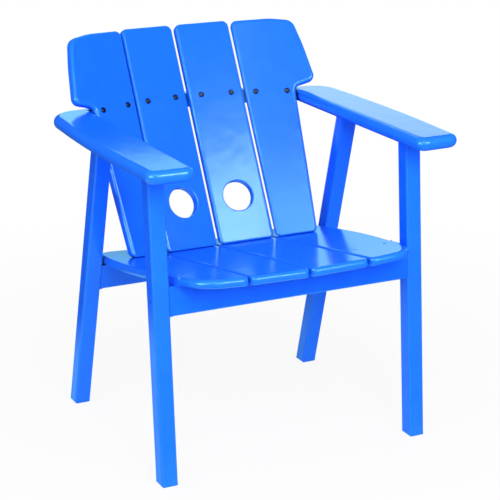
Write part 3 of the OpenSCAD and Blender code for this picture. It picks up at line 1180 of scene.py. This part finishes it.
    def fills(self, legs: LegFrame) -> Skin:
        """The painted fillers over the seat screws: shallow dished discs.

        A point at radius q of a disc of radius a lies fill_sink below the
        slat, with a dish of fill_dish (1 - (q / a) squared) in the middle.

        Args:
            legs: the legs and rails.

        Returns:
            The skin of all of them.
        """
        a = self.fill_d / 2 - self.fill_gap
        q = a * np.array(self.fill_shares)
        dish = self.fill_dish * (1 - (q / a) ** 2)
        z = (-self.fill_sink - dish - np.array(self.fill_steps))[:, None]
        t = np.linspace(0, 2 * math.pi, self.fill_count, endpoint=False)
        q = q[:, None]
        disc, faces = turned(np.stack([q * np.cos(t), q * np.sin(t), z + 0 * t], -1))
        copies, grains = [], []
        for side, k in SLATS:
            for u, v in self.screw_places(k, legs):
                grains.append(disc + np.array([u, v, 0]))
                copies.append(self.place(k).out(grains[-1]) * side.flip)
        return group(copies, grains, faces)

    def build(self, legs: LegFrame, enamel: bpy.types.Material) -> None:
        """Makes the seat.

        Args:
            legs: the legs and rails that carry it.
            enamel: the finish.
        """
        for side, k in SLATS:
            put(f"seat_slat_{side.slat(k)}", self.slat(k, legs).on(side), enamel)
        put("seat_screw_plugs", self.fills(legs), enamel, name="seat_screw_fills")


# ---- back --------------------------------------------------------------------


@dataclass(frozen=True)
class Stand:
    """How a back slat stands: the origin of its place and its turn."""

    origin: tuple[float, float, float]
    turn: float


@dataclass
class Back:
    """Four reclined slats set round a curve; the outer ones have wings.

    A screw head is made of rings, from its foot to the bottom of its socket:
    circles of the radii head_r at the heights head_z, then hexagons.
    """

    thickness: float = 20.0
    recline: float = 28.0
    inner: Stand = Stand((64.0, 234.9, 645.0), 6.2)
    outer: Stand = Stand((181.9, 203.9, 645.0), 17.8)
    edge: float = 6.5
    half: float = 61.2
    inner_tops: tuple[float, float] = (160.8, 165.2)
    top_corner: float = 14.0
    # the outer slat: u of its outer foot, then (u, v, radius) of the corners of
    # its wing and its top, up to its inner edge
    outer_foot: float = 32.8
    wing: tuple[tuple[float, float, float], ...] = (
        (42.5, -180, 300), (53.4, 1.5, 14), (101.5, 9, 15), (91, 92, 400),
        (79.5, 149.5, 25), (30, 162.7, 150), (-56.8, 172.0, 13),
    )
    hole_d: float = 66.0
    hole_v: float = -228.5
    hole_rim: float = 2.4
    foot_corner: float = 11.0
    foot_cut: float = 0.4  # let into the seat, before the plane that trims it
    foot_fade: float = 40.0  # its slant is whole up to half of this, and gone at 1.5
    foot_clear: float = 0.05
    # the outer slat beside the arm: inwards of neck_x over the arm's height
    neck_x: float = 237.0
    neck_z: tuple[float, float] = (612.0, 646.2)
    neck_v: float = 1.0  # below this it is the neck, above it the wing
    screw_u: float = 33.9
    screw_count: int = 72  # points in a ring
    head_r: tuple[float, ...] = (6.2, 6.2, 6.16, 6.03, 5.72, 5.2, 4.5, 3.9, 3.5)
    head_z: tuple[float, ...] = (0, 0.55, 0.95, 1.35, 1.85, 2.4, 2.85, 3.08, 3.16)
    socket_r: tuple[float, ...] = (2.45, 2.3, 2.25, 2.2, 0.6)
    socket_z: tuple[float, ...] = (3.16, 3.05, 2.6, 1.35, 1.1)

    def stand(self, k: float) -> Stand:
        """How slat k of the right-hand side stands."""
        return self.inner if k == INNER else self.outer

    def place(self, k: float) -> Place:
        """The place of slat k of the right-hand side; y = 0 is its front."""
        stand = self.stand(k)
        return Place(stand.origin, turn("x", -self.recline) @ turn("z", -stand.turn))

    def outline(self, k: float, foot: Callable[[float], float]) -> Edge:
        """Outline of slat k: across and outwards, then up the slat.

        Args:
            k: number of the slat, INNER or OUTER.
            foot: gives the height of the foot at a place across the slat.

        Returns:
            Points and roundings.
        """
        if k == INNER:
            right, left = self.half, -self.half
            side = [(right, self.inner_tops[0], self.top_corner),
                    (left, self.inner_tops[1], self.top_corner)]
        else:
            right, left = self.outer_foot, self.wing[-1][0]
            side = self.wing
        rows = [
            (right, foot(right), self.foot_corner), *side, (left, foot(left), self.foot_corner),
        ]
        return outline([Corner(u, v, radius, self.edge) for u, v, radius in rows])

    def slat(self, k: float, seat: Seat) -> Skin:
        """Slat k of the right-hand side, its foot sawn parallel to the seat.

        Args:
            k: number of the slat, INNER or OUTER.
            seat: the seat that it stands on.

        Returns:
            The skin.
        """
        bore = Cutout(0, self.hole_v, self.hole_d / 2, self.hole_rim, Cut.THROUGH)
        place, ground = self.place(k), seat.place(k)
        normal = ground.frame[:, 2]
        across, through, up = place.frame.T @ normal
        drop = np.subtract(ground.origin, place.origin) @ normal - through * self.thickness / 2

        def foot(u: float | np.ndarray) -> float | np.ndarray:
            """Height of the foot at a place, or places, across the slat."""
            return (drop - across * u) / up - self.foot_cut

        points, edges = self.outline(k, foot)
        share = np.clip(1.5 - (points[:, 1] - foot(points[:, 0])) / self.foot_fade, 0, 1)
        slant = np.stack([0 * edges, share * through / up], 1)
        bores = [bore] if k == INNER else []
        skin = Board((points, edges), self.thickness, bores, slant).skin()
        u, v, w = skin.points.T
        world = place.out(np.stack([u, -w, v], 1))
        if k == OUTER:
            # clear of the arm: the neck stays inside it, the wing above it
            x, _, z = world.T
            low, high = self.neck_z
            beside = (x > self.neck_x) & (z > low) & (z < high)
            neck = beside & (v < self.neck_v)
            world[:, 0] = np.where(neck, self.neck_x, x)
            world[:, 2] = np.where(beside & ~neck, high, z)
        skin.points = world
        return skin

    def screw_v(self, u: float, k: float) -> float:
        """Rise of a screw at u along slat k that keeps the row level."""
        recline = math.radians(self.recline)
        return -u * math.sin(math.radians(self.stand(k).turn)) * math.tan(recline)

    def screws(self) -> Skin:
        """The round heads of the screws with their hexagon sockets.

        A ring of a head is a circle; rings of the socket are hexagons, whose
        radius at angle t is a / cos(t mod 60 degrees - 30 degrees).

        Returns:
            The skin of all of them.
        """
        t = np.linspace(0, 2 * math.pi, self.screw_count, endpoint=False)
        hexagon = 1 / np.cos(t % (math.pi / 3) - math.pi / 6)
        radius = np.concatenate([
            np.outer(self.head_r, np.ones(len(t))), np.outer(self.socket_r, hexagon),
        ])
        height = np.array(self.head_z + self.socket_z)[:, None] + 0 * t
        head, faces = turned(np.stack([radius * np.cos(t), -height, radius * np.sin(t)], -1))
        copies = []
        for side, k in SLATS:
            for u in (-self.screw_u, self.screw_u):
                local = head + np.array([u, 0, self.screw_v(u, k)])
                copies.append(self.place(k).out(local) * side.flip)
        return group(copies, copies, faces)

    def build(self, seat: Seat, finishes: Finishes) -> None:
        """Makes the back; a plane just above the seat trims the feet.

        Args:
            seat: the seat that it stands on.
            finishes: the finishes.
        """
        for side, k in SLATS:
            ground = seat.place(k)
            trim = Plane(ground.point(0, 0, self.foot_clear), -ground.frame[:, 2])
            skin = self.slat(k, seat).on(side)
            put(f"back_slat_{side.slat(k)}", skin, finishes.enamel, planes=[trim.on(side)])
        put("back_screws", self.screws(), finishes.black, Slot.BLACK, "back_screw_heads")


# ---- arms --------------------------------------------------------------------


@dataclass
class Arms:
    """Two broad bullnosed arms and the curved rail that joins them."""

    thickness: float = 27.0
    top_z: float = 645.0
    inner_x: float = 235.0
    outer_x: float = 336.0
    bow: float = 3500.0  # radius of the outer edge
    bow_y: float = -70.0
    bow_stations: tuple[float, float, float] = (-285.0, 160.0, 18.5)
    front_y: float = -327.7
    # the arm's outer front corner: way in from outer_x, way behind front_y, radius
    front_corner: tuple[float, float, float] = (5.5, 2.5, 24.0)
    # its outer rear corner: way in from outer_x, y, radius
    rear_corner: tuple[float, float, float] = (9.5, 231.0, 62.0)
    inner_rear_y: float = 229.0
    # its inner front corner: way behind front_y, radius
    inner_front: tuple[float, float] = (-1.5, 22.0)
    notch_x: float = 238.2  # cut back beside the outer back slat
    notch_y: float = 176.0
    notch_step: float = 0.4
    arm_steps: int = 11
    joint: tuple[float, float] = (246.0, 211.0)
    joint_turn: float = 22.0
    rail_radius: float = 495.0
    rail_rear: float = 297.0
    rail_sweep: float = 37.0  # degrees to each side
    rail_points: int = 75
    rail_steps: int = 9
    rail_arris: float = 0.8
    ease_run: float = 3.0
    # the rail's front edge: x of the middle, of the inner slat's outer end, of
    # the outer slat's inner end and of a point past the joint
    front_x: tuple[float, float, float, float] = (0.0, 126.0, 131.5, 280.0)
    slat_gap: float = 0.1

    def joint_plane(self, sign: int) -> Plane:
        """The plane of the right-hand joint between arm and rail.

        Args:
            sign: 1 to cut the rail, -1 to cut the arm.

        Returns:
            The plane.
        """
        angle = math.radians(self.joint_turn)
        normal = sign * np.array([math.cos(angle), -math.sin(angle), 0])
        return Plane(np.array([*self.joint, 0]), normal)

    def arm(self) -> Skin:
        """The right-hand arm, with a full bullnose all round."""
        nose = self.thickness / 2
        out, along, radius = self.front_corner
        corners = [(self.outer_x - out, self.front_y + along, radius)]
        for y in np.arange(*self.bow_stations):
            corners.append((self.outer_x - (y - self.bow_y) ** 2 / (2 * self.bow), y, 0))
        out, along, radius = self.rear_corner
        corners.append((self.outer_x - out, along, radius))
        corners.append((self.inner_x, self.inner_rear_y, 0))
        for y in (self.notch_y + self.notch_step, self.notch_y - self.notch_step):
            corners.append((self.inner_x, y, 0))
        along, radius = self.inner_front
        corners.append((self.inner_x, self.front_y + along, radius))
        edge = outline([Corner(u, v, radius, nose) for u, v, radius in corners])
        skin = Board(edge, self.thickness, steps=self.arm_steps).skin()
        x, y, w = skin.points.T
        x = np.where(y > self.notch_y, np.maximum(x, self.notch_x), x)
        skin.points = np.stack([x, y, w + self.top_z], 1)
        return skin

    def upper_rail(self, back: Back) -> Skin:
        """The rail behind the back slats.

        Its rear edge is an arc with a full bullnose. Its front edge follows
        the rear faces of the slats, which lean, so that edge moves rearwards
        by the tangent of the recline for each millimetre up.

        Args:
            back: the back slats.

        Returns:
            The skin.
        """
        nose = self.thickness / 2
        recline = math.radians(back.recline)
        rise = math.tan(recline)

        def slat_line(k: float, x: float) -> float:
            """Rear face of a slat at the height of the middle of the rail.

            Args:
                k: number of the slat, INNER or OUTER.
                x: place across.

            Returns:
                Its y.
            """
            stand = back.stand(k)
            c, s = math.cos(math.radians(stand.turn)), math.sin(math.radians(stand.turn))
            u = (x - stand.origin[0] - back.thickness * s) / c
            down = (self.top_z - nose - stand.origin[2]) * rise
            return stand.origin[1] + (back.thickness * c - u * s) / math.cos(recline) + down

        places = zip(self.front_x, (INNER, INNER, OUTER, OUTER))
        right = [(x, slat_line(k, x) + self.slat_gap) for x, k in places]
        front = [(-x, y) for x, y in right[:0:-1]] + right
        angle = np.radians(np.linspace(self.rail_sweep, -self.rail_sweep, self.rail_points))
        rear = [
            (self.rail_radius * math.sin(a), self.rail_rear - self.rail_radius * (1 - math.cos(a)))
            for a in angle
        ]
        corners = [Corner(x, y, 0, self.rail_arris) for x, y in front]
        corners += [Corner(x, y, 0, nose) for x, y in rear]
        # an edge's rounding goes by the corner that it starts from
        corners[len(front) - 1].edge, corners[-1].edge = nose, self.rail_arris
        points, edges = outline(corners, run=self.ease_run)
        lean = np.where(edges < nose / 2, rise, 0.0)
        slant = np.stack([0 * lean, lean], 1)
        board = Board((points, edges), self.thickness, [], slant, steps=self.rail_steps)
        skin = board.skin(grain_across=True)
        skin.points = skin.points + np.array([0, 0, self.top_z])
        return skin

    def build(self, back: Back, enamel: bpy.types.Material) -> None:
        """Makes the arms and the upper rail.

        Args:
            back: the back slats, which the rail follows.
            enamel: the finish.
        """
        for side in Side:
            name = f"arm_{side.name.lower()}"
            put(name, self.arm().on(side), enamel, planes=[self.joint_plane(-1).on(side)])
        planes = [self.joint_plane(1).on(side) for side in Side]
        put("upper_back_rail", self.upper_rail(back), enamel, planes=planes)


# ---- studio ------------------------------------------------------------------


@dataclass
class Softbox:
    """A soft rectangular lamp that looks at a point of the chair.

    Its light on the matt body of the paint and its image in the gloss are set
    apart, as with a scrim in front of the lamp.

    Attributes:
        name: name of the lamp.
        at: its place.
        size: width and height.
        light: radiance of its light.
        shine: radiance of its image.
        tone: colour of its image.
        aim: the point that it looks at.
        spread: spread of its light, in degrees.
        scrim: how far its image stands in front, so that the two don't share
            a plane.
    """

    name: str
    at: tuple[float, float, float]
    size: tuple[float, float]
    light: float
    shine: float
    tone: str = "FFFFFF"
    aim: tuple[float, float, float] = (0.0, 0.0, 0.45)
    spread: float = 180.0
    scrim: float = 0.04

    def build(self) -> None:
        """Makes the lamps; their power follows from radiance and area."""
        width, height = self.size
        ahead = Vector(self.aim) - Vector(self.at)
        for part, radiance in (("light", self.light), ("shine", self.shine)):
            if radiance <= 0:
                continue
            image = part == "shine"
            lamp = bpy.data.lights.new(f"{self.name}_{part}", "AREA")
            lamp.shape = "RECTANGLE"
            lamp.size, lamp.size_y = width, height
            lamp.spread = math.radians(self.spread)
            lamp.energy = radiance * width * height * math.pi
            lamp.color = linear(self.tone)[:3] if image else WHITE[:3]
            thing = add_object(lamp.name, lamp)
            thing.location = Vector(self.at) + ahead.normalized() * (self.scrim if image else 0.0)
            thing.rotation_euler = ahead.to_track_quat("-Z", "Y").to_euler()
            thing.visible_camera = False
            thing.visible_diffuse, thing.visible_glossy = not image, image


@dataclass(frozen=True)
class FloorSheet(Finish):
    """Matt white sheet, which gives a soft shadow and burns out to white.

    In reflections it is bright under the chair and falls off behind it, in
    front of it and to its right.

    Attributes:
        name: name of the material.
        colour: the sheet in its own light and shade.
        white: share of plain white near the chair.
        white_from: distance at which that share begins to rise to all.
        white_to: distance at which it is all.
        sheen: colour of the sheet in reflections.
        falls: axis, the places between which the reflection changes, and its
            level at each of the two.
    """

    name: str = "studio_floor"
    colour: str = "C4C4C4"
    white: float = 0.9
    white_from: float = 0.5
    white_to: float = 1.6
    sheen: str = "A0FFFF"
    falls: tuple[tuple[str, float, float, float, float], ...] = (
        ("Y", 0.4, 0.8, 1.1, 0.12), ("Y", -0.55, -0.25, 0.05, 1.0), ("X", 0.25, 0.5, 1.0, 0.1),
    )

    def shader(self, tree: bpy.types.NodeTree) -> bpy.types.Node:
        """Adds the nodes of the sheet.

        Args:
            tree: the node tree.

        Returns:
            Its shader.
        """
        path = add_node(tree, "LightPath").outputs
        place = add_node(tree, "TexCoord").outputs["Object"]
        split = add_node(tree, "SeparateXYZ", {0: place}).outputs
        away = add_node(tree, "VectorMath", {0: place}, operation="LENGTH")
        white = add_node(tree, "MapRange", {
            "Value": away, "From Min": self.white_from, "From Max": self.white_to,
            "To Min": self.white, "To Max": 1.0,
        })
        share = add_node(tree, "Math", {0: path["Is Camera Ray"], 1: white}, operation="MULTIPLY")
        matt = add_node(tree, "BsdfDiffuse", {"Color": linear(self.colour)})
        seen = add_node(tree, "Emission", {"Color": WHITE, "Strength": 1.0})
        plain = add_node(tree, "MixShader", {0: share, 1: matt, 2: seen})
        levels = [
            add_node(tree, "MapRange", {
                "Value": split[axis], "From Min": near, "From Max": far,
                "To Min": first, "To Max": last,
            }, interpolation_type="SMOOTHSTEP")
            for axis, near, far, first, last in self.falls
        ]
        level = levels[0]
        for other in levels[1:]:
            level = add_node(tree, "Math", {0: level, 1: other}, operation="MULTIPLY")
        sheen = add_node(tree, "Emission", {"Color": linear(self.sheen), "Strength": level})
        return add_node(tree, "MixShader", {0: path["Is Glossy Ray"], 1: plain, 2: sheen})


@dataclass
class Studio:
    """White floor, soft lamps, pale surroundings and the camera.

    Its sizes and places are in metres, but for the lens and the sensor, which
    are in millimetres.
    """

    ambient: float = 0.80
    room_shine: float = 0.07
    room_tone: str = "A0FFFF"
    floor_half: float = 9.0
    camera_at: tuple[float, float, float] = (-1.4678, -3.0727, 1.4256)
    camera_aim: tuple[float, float, float] = (0.01105, -0.0377, 0.37345)
    camera_roll: float = -0.2086
    lens: float = 123.52
    sensor: float = 36.0
    clip: tuple[float, float] = (0.05, 50.0)
    lamps: tuple[Softbox, ...] = (
        Softbox("key_softbox", (0.80, -2.85, 1.55), (1.5, 2.3), 1.4, 0.0, spread=130.0),
        Softbox("key_image", (0.734, -2.616, 2.207), (1.5, 0.9), 0.0, 8.1, "E3FFFF",
                (-0.025, 0.09, 1.163), 130.0),
        Softbox("centre_softbox", (-0.45, -2.95, 1.95), (0.8, 1.5), 8.6, 3.1, "A6FFFF",
                spread=130.0),
        Softbox("high_softbox", (-1.4, -2.2, 3.0), (1.8, 1.4), 7.2, 2.2, "D6FFFF"),
        Softbox("left_strip", (-2.7, -1.3, 1.4), (0.8, 1.8), 4.5, 0.0),
        Softbox("left_edge", (-2.6, -2.0, 1.6), (1.0, 1.6), 0.0, 6.0, "C8FFFF"),
        Softbox("rim_strip", (-2.9, -0.9, 1.45), (1.1, 1.5), 0.0, 14.0, "C4FFFF"),
    )
    # images of the pale wall behind: name, x, z, size, radiance and colour
    wall_y: float = 3.0
    walls: tuple[tuple[str, float, float, tuple[float, float], float, str], ...] = (
        ("wall_left_low", 1.0, 0.4, (1.0, 0.8), 0.8, "A0FFFF"),
        ("wall_left", 1.0, 2.0, (1.0, 2.4), 1.7, "B0FFFF"),
        ("wall_right_low", 2.05, 0.4, (1.1, 0.8), 1.1, "A3FFFF"),
        ("wall_right", 2.05, 1.3, (1.1, 1.0), 1.8, "D7FFFF"),
        ("wall_far_right", 3.55, 1.3, (1.9, 1.0), 3.0, "A0FFFF"),
    )

    def floor(self) -> None:
        """Makes the floor: a wide plane."""
        mesh = bpy.data.meshes.new("floor")
        corners = np.array([[-1, -1, 0], [1, -1, 0], [1, 1, 0], [-1, 1, 0]]) * self.floor_half
        mesh.from_pydata(corners.tolist(), [], [[0, 1, 2, 3]])
        floor = add_object("floor", mesh)
        mesh.materials.append(FloorSheet(sheen=self.room_tone).build())

    def world(self) -> None:
        """Makes the surroundings: white to look at, dim and cool in the gloss."""
        world = bpy.data.worlds.new("studio")
        bpy.context.scene.world = world
        world.use_nodes = True
        tree = world.node_tree
        tree.nodes.clear()
        path = add_node(tree, "LightPath").outputs
        shiny = add_node(tree, "Math", {
            0: path["Is Glossy Ray"], 1: path["Is Transmission Ray"],
        }, operation="MAXIMUM")
        soft = add_node(tree, "Mix", {FACTOR: shiny, LOW: self.ambient, HIGH: self.room_shine})
        level = add_node(tree, "Mix", {FACTOR: path["Is Camera Ray"], LOW: soft, HIGH: 1.0})
        tone = add_node(tree, "Mix", {
            FACTOR: shiny, FIRST: WHITE, SECOND: linear(self.room_tone),
        }, data_type="RGBA")
        light = add_node(tree, "Background", {"Color": tone, "Strength": level})
        add_node(tree, "OutputWorld", {"Surface": light})

    def camera(self) -> None:
        """Makes the camera: it looks at its aim, rolled about its axis."""
        data = bpy.data.cameras.new("camera")
        data.lens, data.sensor_width = self.lens, self.sensor
        data.clip_start, data.clip_end = self.clip
        thing = add_object("camera", data)
        ahead = Vector(self.camera_aim) - Vector(self.camera_at)
        view = ahead.to_track_quat("-Z", "Y").to_matrix().to_4x4()
        roll = Matrix.Rotation(math.radians(self.camera_roll), 4, "Z")
        thing.matrix_world = Matrix.Translation(self.camera_at) @ view @ roll
        bpy.context.scene.camera = thing

    def build(self) -> None:
        """Makes the studio."""
        self.floor()
        self.world()
        self.camera()
        for lamp in self.lamps:
            lamp.build()
        for name, x, z, size, shine, tone in self.walls:
            at, aim = (x, self.wall_y, z), (x, 0.0, z)
            Softbox(name, at, size, 0.0, shine, tone, aim).build()
        bpy.context.scene.view_settings.view_transform = "Standard"


def main() -> None:
    """Builds the chair and its studio."""
    logging.basicConfig(level=logging.INFO, format="%(message)s")
    finishes = Finishes()
    legs, seat, back, arms = LegFrame(), Seat(), Back(), Arms()
    legs.build(seat, finishes.enamel)
    seat.build(legs, finishes.enamel)
    back.build(seat, finishes)
    arms.build(back, finishes.enamel)
    finishes.dress()
    Studio().build()


if __name__ == "__main__":
    main()
